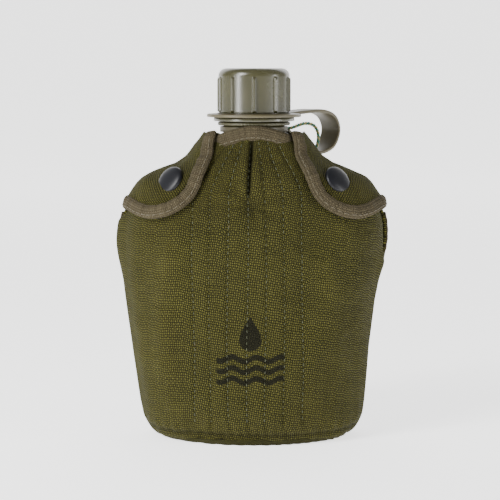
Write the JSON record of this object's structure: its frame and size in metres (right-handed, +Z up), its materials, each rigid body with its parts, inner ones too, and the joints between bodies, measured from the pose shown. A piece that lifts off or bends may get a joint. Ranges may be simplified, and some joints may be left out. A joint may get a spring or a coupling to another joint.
{
  "type": "canteen",
  "caption": "Flat kidney-shaped drinking bottle with a screw cap on a keeper strap, in a lined canvas cover with snapped shoulder flaps and belt clips.",
  "frame": {"origin": "centre of the base on the ground", "axes": "+Z up, +X to the right seen from the front, the front faces -Y"},
  "size_m": [0.1514, 0.0959, 0.2057],
  "materials": {
    "bottle_polyethylene": "blow-moulded olive polyethylene, satin",
    "cap_plastic": "moulded olive plastic, satin with highlights",
    "gasket_rubber": "moulded rubber",
    "strap_plastic": "moulded flexible polyethylene",
    "twisted_cord": "teal and pale gold twisted cord",
    "cotton_duck": "plain-woven olive cotton duck",
    "fleece_lining": "brushed fleece",
    "binding_tape": "woven khaki binding tape",
    "enamelled_snap": "black enamelled brass, satin",
    "blackened_steel": "black oxide steel",
    "webbing": "herringbone cotton webbing"
  },
  "bodies": {
    "root": {"bottle": "bottle_polyethylene", "bottle_neck": "bottle_polyethylene", "strap_neck_ring": "strap_plastic", "neck_cord": "twisted_cord", "front_panel": "cotton_duck", "back_panel": "cotton_duck", "base_panel": "cotton_duck", "front_lining": "fleece_lining", "back_lining": "fleece_lining", "base_lining": "fleece_lining", "collar_binding": "binding_tape", "side_binding_left": "binding_tape", "side_binding_right": "binding_tape", "drain_eyelet": "blackened_steel", "snap_stud_left": "enamelled_snap", "snap_stud_right": "enamelled_snap", "webbing_backing_left": "webbing", "webbing_backing_right": "webbing", "webbing_keeper_left": "webbing", "webbing_keeper_right": "webbing", "belt_clip_left": "blackened_steel", "belt_clip_right": "blackened_steel"},
    "keeper_strap": {"strap_cap_ring": "strap_plastic", "strap_band": "strap_plastic"},
    "cap": {"cap": "cap_plastic", "cap_gasket": "gasket_rubber"},
    "flap_left": {"flap_left": "cotton_duck", "flap_lining_left": "fleece_lining", "flap_binding_left": "binding_tape", "snap_cap_left": "enamelled_snap", "snap_socket_left": "enamelled_snap"},
    "clip_slide_left": {"clip_slide_left": "blackened_steel"},
    "flap_right": {"flap_right": "cotton_duck", "flap_lining_right": "fleece_lining", "flap_binding_right": "binding_tape", "snap_cap_right": "enamelled_snap", "snap_socket_right": "enamelled_snap"},
    "clip_slide_right": {"clip_slide_right": "blackened_steel"}
  },
  "joints": [
    {"name": "cap_lift", "type": "slide", "parent": "root", "child": "keeper_strap", "axis": [0, 0, 1], "range_m": [0, 0.009]},
    {"name": "cap_turn", "type": "hinge", "parent": "keeper_strap", "child": "cap", "pos_m": [0, 0, 0.19], "axis": [0, 0, 1], "range_deg": [0, 810]},
    {"name": "flap_left_open", "type": "hinge", "parent": "root", "child": "flap_left", "pos_m": [-0.052, 0.0085, 0.152], "axis": [-0.722, 0, -0.6919], "range_deg": [0, 130]},
    {"name": "flap_right_open", "type": "hinge", "parent": "root", "child": "flap_right", "pos_m": [0.052, 0.0085, 0.152], "axis": [-0.722, 0, 0.6919], "range_deg": [0, 130]},
    {"name": "clip_slide_left_open", "type": "slide", "parent": "root", "child": "clip_slide_left", "axis": [0, 0, 1], "range_m": [0, 0.01]},
    {"name": "clip_slide_right_open", "type": "slide", "parent": "root", "child": "clip_slide_right", "axis": [0, 0, 1], "range_m": [0, 0.01]}
  ],
  "couplings": [
    {"joint": "cap_turn", "follows": "cap_lift", "rad_per_m": 1570.8}
  ]
}
